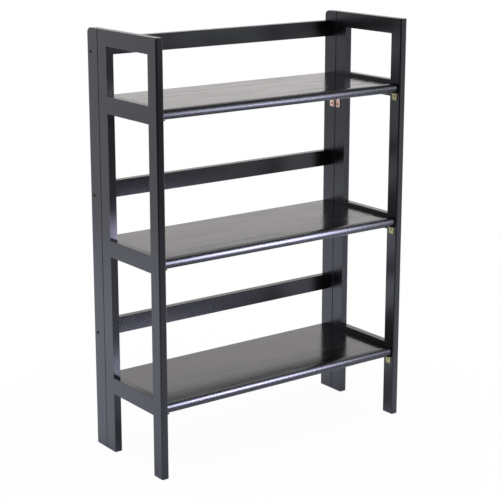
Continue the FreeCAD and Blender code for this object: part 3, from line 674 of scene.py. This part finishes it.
def add_screw(form, profile, place, out):
    """Spins one screw round the X axis through its place. Its head looks along out, which is 1 or -1."""
    middle = Vector(place)
    made = [form.verts.new(middle + Vector((out * height, radius, 0.0))) for radius, height in profile]
    edges = [form.edges.new(pair) for pair in zip(made, made[1:])]
    turned = Matrix.Rotation(math.pi / SCREW_STEPS, 3, "X")
    bmesh.ops.rotate(form, verts=made, cent=middle, matrix=turned)
    bmesh.ops.spin(form, geom=made + edges, cent=middle, axis=(1.0, 0.0, 0.0), angle=2 * math.pi,
                   steps=SCREW_STEPS, use_merge=True)
    bmesh.ops.remove_doubles(form, verts=form.verts[:], dist=MERGE_DISTANCE)
    press_recess(form, profile, middle, out)


def press_recess(form, profile, middle, out):
    """Presses a cross into the head of a screw."""
    head = max(radius for radius, height in profile)
    reach = head * RECESS_REACH
    innermost = head / DOME_RINGS
    arms = []
    for face in form.faces:
        away = face.calc_center_median() - middle
        radius = math.hypot(away.y, away.z)
        on_head = out * away.x > -head * SEAT_MARGIN
        on_arm = min(abs(away.y), abs(away.z)) < radius * math.sin(math.pi / SCREW_STEPS)
        if on_head and (radius < innermost or on_arm and radius < reach):
            arms.append(face)
    pressed = bmesh.ops.extrude_face_region(form, geom=arms)
    moved = [item for item in pressed["geom"] if isinstance(item, bmesh.types.BMVert)]
    bmesh.ops.translate(form, verts=moved, vec=(-out * head * RECESS_DEPTH, 0.0, 0.0))
    bmesh.ops.delete(form, geom=arms, context="FACES")


def inner_face(side):
    """Where a stile's inner face lies along X."""
    low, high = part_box(f"back_stile_{side}")
    return low.x if SIDES[side] > 0 else high.x


def outer_face(side):
    """Where a stile's outer face lies along X."""
    low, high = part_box(f"back_stile_{side}")
    return high.x if SIDES[side] > 0 else low.x


def make_screws(node, material, profile, places):
    """Round screws for a CAD node of many-sided ones. Each place comes with the way its head looks."""
    form = bmesh.new()
    for place, out in places:
        single = bmesh.new()
        add_screw(single, profile, place, out)
        bmesh.ops.recalc_face_normals(single, faces=single.faces[:])
        held = bpy.data.meshes.new(node)
        single.to_mesh(held)
        single.free()
        form.from_mesh(held)
        bpy.data.meshes.remove(held)
    mesh = bpy.data.meshes.new("round_" + node)
    form.to_mesh(mesh)
    form.free()
    mesh.shade_smooth()
    mesh.set_sharp_from_angle(angle=SHARP_ANGLE)
    made = bpy.data.objects.new("round_" + node, mesh)
    bpy.context.scene.collection.objects.link(made)
    mesh.materials.append(material)
    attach(made, "frame")
    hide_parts(node)


# Operators, one for each family of pieces

class BOOKCASE_OT_uprights(bpy.types.Operator):
    """Lacquers the stiles and posts"""

    bl_idname = "bookcase.uprights"
    bl_label = "Lacquer the uprights"

    def execute(self, context):
        lacquer_boards(nodes_named("back_stile_", "side_rear_post_", "side_front_post_"))
        return {"FINISHED"}


class BOOKCASE_OT_rails(bpy.types.Operator):
    """Lacquers the rails of the side frames and the back"""

    bl_idname = "bookcase.rails"
    bl_label = "Lacquer the rails"

    def execute(self, context):
        side_rails = [f"side_{level}_rail_{side}" for level in SIDE_RAIL_LEVELS for side in SIDES]
        lacquer_boards(side_rails + nodes_named("back_rail_"), butted=True)
        return {"FINISHED"}


class BOOKCASE_OT_shelves(bpy.types.Operator):
    """Lacquers the three shelves"""

    bl_idname = "bookcase.shelves"
    bl_label = "Lacquer the shelves"

    def execute(self, context):
        lacquer_boards(SHELVES, nosed=True)
        return {"FINISHED"}


class BOOKCASE_OT_hinges(bpy.types.Operator):
    """Finishes the leaves, pins and screws of the hinges"""

    bl_idname = "bookcase.hinges"
    bl_label = "Finish the hinges"

    def execute(self, context):
        brass = brushed_metal("hinge_brass")
        browned = brushed_metal("hinge_pin_brass")
        for name in nodes_named("hinge_lower", "hinge_upper"):
            wear_material(name, browned if name.endswith("_pin") else brass)
        places = []
        for side, way in SIDES.items():
            leaf_face = inner_face(side) - way * LEAF_THICKNESS
            for level in ("lower", "upper"):
                low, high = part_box(f"hinge_{level}_{side}_pin")
                middle = (low + high) / 2
                for y in (middle.y - HINGE_SCREW_ASIDE, middle.y + HINGE_SCREW_ASIDE):
                    for z in (middle.z - HINGE_SCREW_ABOVE, middle.z + HINGE_SCREW_ABOVE):
                        places.append(((leaf_face, y, z), -way))
        bronze = brushed_metal("bronzed_screw")
        make_screws("hinge_screws", bronze, countersunk_profile(**HINGE_SCREW), places)
        return {"FINISHED"}


class BOOKCASE_OT_supports(bpy.types.Operator):
    """Finishes the angles under the shelves and their screws"""

    bl_idname = "bookcase.supports"
    bl_label = "Finish the supports"

    def execute(self, context):
        brass = brushed_metal("support_brass")
        for name in nodes_named("support_bottom", "support_middle", "support_top"):
            wear_material(name, brass)
        places = []
        for side, way in SIDES.items():
            plate_face = inner_face(side) - way * ANGLE_THICKNESS
            for level in LEVELS:
                low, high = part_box(f"support_{level}_{side}")
                places.append(((plate_face, (low.y + high.y) / 2, high.z - ANGLE_SCREW_DROP), -way))
        bright = brushed_metal("support_screw_brass")
        make_screws("support_screws", bright, dome_profile(**SUPPORT_SCREW), places)
        return {"FINISHED"}


class BOOKCASE_OT_rail_screws(bpy.types.Operator):
    """Finishes the dome heads that hold the back rails"""

    bl_idname = "bookcase.rail_screws"
    bl_label = "Finish the rail screws"

    def execute(self, context):
        places = []
        for side, way in SIDES.items():
            for level in LEVELS:
                low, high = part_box(f"back_rail_{level}")
                places.append(((outer_face(side), (low.y + high.y) / 2, low.z + RAIL_SCREW_RISE), way))
        black = brushed_metal("blacked_screw")
        make_screws("rail_screws", black, dome_profile(**RAIL_SCREW), places)
        return {"FINISHED"}


class BOOKCASE_OT_hidden_joinery(bpy.types.Operator):
    """Finishes the shelf pins and dowels inside the joints"""

    bl_idname = "bookcase.hidden_joinery"
    bl_label = "Finish pins and dowels"

    def execute(self, context):
        steel = brushed_metal("shelf_pin_steel")
        for name in nodes_named("shelf_pins_"):
            wear_material(name, steel)
        beech = bare_beech("dowel_beech_along_y", Y_AXIS)
        for name in nodes_named("side_frame_dowels_"):
            wear_material(name, beech)
        wear_material("rail_dowels", bare_beech("dowel_beech_along_x", X_AXIS))
        return {"FINISHED"}


class BOOKCASE_OT_studio(bpy.types.Operator):
    """Makes the white floor, the light and the camera"""

    bl_idname = "bookcase.studio"
    bl_label = "Set up the studio"

    def execute(self, context):
        settings = context.scene.bookcase_studio
        make_floor(settings)
        make_room(settings)
        for name, lamp in LAMPS.items():
            make_softbox(name, **lamp)
        make_camera(settings)
        context.scene.view_settings.view_transform = "Standard"
        return {"FINISHED"}


# The studio

# A fade is the range over which light changes: in metres on the floor, and elsewhere cosines of a direction

FLOOR_SEGMENTS = 96
PAPER_TOOTH_RATE = 180.0
PAPER_TOOTH_SHADE = 0.985
SHADE_EDGE = 0.08
FLOOR_FADE = (-1.6, 0.3)
SIDE_FADE = (-0.5, 0.6)
OVERHEAD_FADE = (0.42, 0.75)
WARM_FADE = (0.4, 0.95)
SENSOR_WIDTH = 36.0

LAMPS = {
    "near_softbox": {
        "place": (0.26, -0.62, 0.63), "aim": (-0.10, -0.13, 0.22), "width": 0.40, "height": 0.50,
        "brightness": 23.0, "colour": (0.72, 0.72, 1.0), "spread": math.radians(114.0), "only_for": SHELVES},
    "front_softbox": {
        "place": (1.00, -1.42, 1.30), "aim": (0.0, 0.0, 0.6), "width": 0.8, "height": 0.6,
        "brightness": 9.0, "colour": (0.84, 0.89, 1.0)},
    "side_reflector": {
        "place": (1.50, -1.42, 0.34), "aim": (0.3, 0.0, 0.5), "width": 0.7, "height": 0.68,
        "brightness": 0.85, "colour": (0.92, 0.95, 1.0)},
}


def make_floor(settings):
    """A round white floor. Light and shade make only a share of its white, so its shadows stay soft."""
    mesh = bpy.data.meshes.new("studio_floor")
    form = bmesh.new()
    bmesh.ops.create_circle(form, cap_ends=True, segments=FLOOR_SEGMENTS, radius=settings.floor_radius,
                            matrix=Matrix.Translation((0.0, 0.0, -settings.floor_drop)))
    form.to_mesh(mesh)
    form.free()
    floor = bpy.data.objects.new("studio_floor", mesh)
    bpy.context.scene.collection.objects.link(floor)
    mesh.materials.append(floor_finish(settings))


def floor_finish(settings):
    """Matt white paper. The camera and gloss see it as the same white as the backdrop, but for the shadow,
    which gloss sees as a painted shade beneath the object.
    """
    made = bpy.data.materials.new("studio_paper")
    made.use_nodes = True
    tree = made.node_tree
    tree.nodes.clear()
    place = add_node(tree, "ShaderNodeTexCoord", 0, 1).outputs["Object"]
    tooth = noise(tree, 1, 1, place, PAPER_TOOTH_RATE, detail=3.0)
    darker = [PAPER_TOOTH_SHADE * part for part in settings.floor_colour]
    colour = mix_colours(tree, 2, 0, tooth, darker, settings.floor_colour)
    paper = add_node(tree, "ShaderNodeBsdfDiffuse", 3, 0, inputs={"Color": colour})
    lit = add_node(tree, "ShaderNodeBsdfDiffuse", 3, 1, inputs={"Color": (1.0, 1.0, 1.0, 1.0)})
    share = settings.shadow_share
    rest = (1.0 - share * settings.room_light) / (1.0 - share)
    plain = add_node(tree, "ShaderNodeEmission", 3, 2, inputs={"Strength": rest})
    seen = add_node(tree, "ShaderNodeMixShader", 4, 1, inputs={
        0: share, 1: plain.outputs[0], 2: lit.outputs[0]})
    backward = calculate_vector(tree, "DOT_PRODUCT", 1, 3, place, backdrop_direction(settings))
    gloss = stretch_range(tree, 2, 3, backward, FLOOR_FADE, (settings.front_floor, settings.near_floor))
    # Painted shade beneath the object, in the floor's glow
    gloss = calculate(tree, "MULTIPLY", 3, 4, gloss, painted_shade_beneath(tree, place, settings.painted_under_shade))
    glow = add_node(tree, "ShaderNodeEmission", 3, 3, inputs={
        "Color": opaque(settings.floor_tint), "Strength": gloss})
    path = add_node(tree, "ShaderNodeLightPath", 3, 4).outputs
    mirrored = add_node(tree, "ShaderNodeMixShader", 4, 3, inputs={
        0: path["Is Glossy Ray"], 1: paper.outputs[0], 2: glow.outputs[0]})
    mixed = add_node(tree, "ShaderNodeMixShader", 5, 0, inputs={
        0: path["Is Camera Ray"], 1: mirrored.outputs[0], 2: seen.outputs[0]})
    add_node(tree, "ShaderNodeOutputMaterial", 6, 0, inputs={"Surface": mixed.outputs[0]})
    return made


def painted_shade_beneath(tree, place, loss):
    """The share of the floor's brightness that is left: all in the open, and less beneath the object, as a
    painted shade.
    """
    away = separate(tree, 1, 6, calculate_vector(tree, "ABSOLUTE", 0, 6, place))
    corner = CAD_BOX[1]
    edge_x = (corner.x - SHADE_EDGE, corner.x + SHADE_EDGE)
    edge_y = (corner.y - SHADE_EDGE, corner.y + SHADE_EDGE)
    within_width = stretch_range(tree, 2, 6, away[X_AXIS], edge_x, (1.0, 0.0))
    within_depth = stretch_range(tree, 2, 7, away[Y_AXIS], edge_y, (1.0, 0.0))
    inside = calculate(tree, "MULTIPLY", 3, 6, within_width, within_depth)
    return stretch_range(tree, 3, 7, inside, (0.0, 1.0), (1.0, 1.0 - loss))


def backdrop_direction(settings):
    """The level direction from the object to the white backdrop."""
    return (math.sin(settings.backdrop_heading), math.cos(settings.backdrop_heading), 0.0)


def make_room(settings):
    """Even light for the object. The camera sees plain white, and gloss a room with a dark front and top."""
    world = bpy.data.worlds.new("studio_room")
    bpy.context.scene.world = world
    world.use_nodes = True
    tree = world.node_tree
    tree.nodes.clear()
    direction = add_node(tree, "ShaderNodeTexCoord", 0, 0).outputs["Generated"]
    backward = calculate_vector(tree, "DOT_PRODUCT", 1, 0, direction, backdrop_direction(settings))
    upward = separate(tree, 1, 1, direction)[Z_AXIS]
    side = stretch_range(tree, 2, 0, backward, SIDE_FADE, (settings.dark_side, settings.bright_side))
    overhead = stretch_range(tree, 2, 1, upward, OVERHEAD_FADE, (1.0, settings.overhead_share), "SMOOTHSTEP")
    gloss = calculate(tree, "MULTIPLY", 3, 0, side, overhead)
    warmth = stretch_range(tree, 2, 2, backward, WARM_FADE, (0.0, 1.0))
    tint = mix_colours(tree, 3, 2, warmth, settings.cool_tint, settings.warm_tint)
    path = add_node(tree, "ShaderNodeLightPath", 1, 3).outputs
    lit = mix_values(tree, 4, 0, path["Is Glossy Ray"], settings.room_light, gloss)
    strength = mix_values(tree, 5, 0, path["Is Camera Ray"], lit, 1.0)
    colour = mix_colours(tree, 4, 2, path["Is Glossy Ray"], (1.0, 1.0, 1.0), tint)
    background = add_node(tree, "ShaderNodeBackground", 6, 0, inputs={"Color": colour, "Strength": strength})
    add_node(tree, "ShaderNodeOutputWorld", 7, 0, inputs={"Surface": background.outputs[0]})


def make_softbox(name, place, aim, width, height, brightness, colour, spread=math.pi, only_for=()):
    """A flat light of an even brightness that faces a point of the object and shows in its gloss alone.

    The light falls on every piece, or only on the CAD nodes that are named.
    """
    light = bpy.data.lights.new(name, "AREA")
    light.shape = "RECTANGLE"
    light.size = width
    light.size_y = height
    light.energy = brightness * math.pi * width * height
    light.color = colour
    light.spread = spread
    box = bpy.data.objects.new(name, light)
    bpy.context.scene.collection.objects.link(box)
    box.location = place
    box.rotation_euler = (Vector(aim) - Vector(place)).to_track_quat("-Z", "Y").to_euler()
    box.visible_camera = False
    box.visible_diffuse = False
    if only_for:
        receivers = bpy.data.collections.new(name + "_receivers")
        for node in only_for:
            receivers.objects.link(NODES[node])
        box.light_linking.receiver_collection = receivers


def make_camera(settings):
    """The camera of the photograph, with a small shift of its lens."""
    data = bpy.data.cameras.new("photo_camera")
    data.lens = settings.camera_lens
    data.sensor_width = SENSOR_WIDTH
    data.shift_y = settings.camera_shift
    camera = bpy.data.objects.new("photo_camera", data)
    bpy.context.scene.collection.objects.link(camera)
    camera.location = settings.camera_place
    camera.rotation_euler = (math.pi / 2 - settings.camera_tilt, 0.0, -settings.camera_heading)
    bpy.context.scene.camera = camera


# The add-on

STEPS = (
    BOOKCASE_OT_uprights,
    BOOKCASE_OT_rails,
    BOOKCASE_OT_shelves,
    BOOKCASE_OT_hinges,
    BOOKCASE_OT_supports,
    BOOKCASE_OT_rail_screws,
    BOOKCASE_OT_hidden_joinery,
    BOOKCASE_OT_studio,
)


class BOOKCASE_PT_finish(bpy.types.Panel):
    """Lists the steps and the settings of the bookcase's finish"""

    bl_label = "Folding bookcase"
    bl_idname = "BOOKCASE_PT_finish"
    bl_space_type = "VIEW_3D"
    bl_region_type = "UI"
    bl_category = "Bookcase"

    def draw(self, context):
        scene = context.scene
        for group in (scene.bookcase_lacquer, scene.bookcase_fittings, scene.bookcase_studio):
            box = self.layout.box()
            for name in group.bl_rna.properties.keys():
                if name not in ("rna_type", "name"):
                    box.prop(group, name)
        for step in STEPS:
            self.layout.operator(step.bl_idname)


GROUPS = {
    "bookcase_lacquer": LacquerSettings,
    "bookcase_fittings": FittingSettings,
    "bookcase_studio": StudioSettings,
}


def register():
    """Makes the settings, steps and panel known."""
    for group in GROUPS.values():
        bpy.utils.register_class(group)
    for name, group in GROUPS.items():
        setattr(bpy.types.Scene, name, bpy.props.PointerProperty(type=group))
    for step in STEPS:
        bpy.utils.register_class(step)
    bpy.utils.register_class(BOOKCASE_PT_finish)


def unregister():
    """Takes the panel, steps and settings out again."""
    bpy.utils.unregister_class(BOOKCASE_PT_finish)
    for step in reversed(STEPS):
        bpy.utils.unregister_class(step)
    for name in GROUPS:
        delattr(bpy.types.Scene, name)
    for group in GROUPS.values():
        bpy.utils.unregister_class(group)


def main():
    """Finishes the bookcase step by step."""
    register()
    bpy.ops.bookcase.uprights()
    bpy.ops.bookcase.rails()
    bpy.ops.bookcase.shelves()
    bpy.ops.bookcase.hinges()
    bpy.ops.bookcase.supports()
    bpy.ops.bookcase.rail_screws()
    bpy.ops.bookcase.hidden_joinery()
    bpy.ops.bookcase.studio()


if __name__ == "__main__":
    main()
